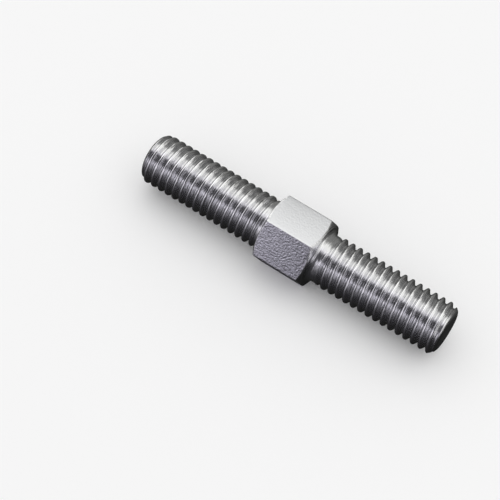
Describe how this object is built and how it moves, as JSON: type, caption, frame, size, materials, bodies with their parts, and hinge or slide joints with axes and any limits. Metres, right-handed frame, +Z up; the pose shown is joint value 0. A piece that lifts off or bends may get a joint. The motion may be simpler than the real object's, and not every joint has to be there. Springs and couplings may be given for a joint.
{
  "type": "double-ended hex adjusting stud",
  "caption": "Double-ended stud with a hex grip in the middle, a right-hand metric thread on one end and a left-hand thread on the other, for adjusting the length of a rod.",
  "frame": {"origin": "middle of the hex grip, on the stud's axis", "axes": "+X along the stud towards the right-hand thread, +Z up out of a flat of the hex, the stud lying on the opposite flat"},
  "size_m": [0.0508, 0.0116, 0.01],
  "materials": {
    "stud": "bright zinc-plated steel, rolled threads and a satin forged hex"
  },
  "bodies": {
    "root": {"stud": "stud"}
  },
  "joints": []
}
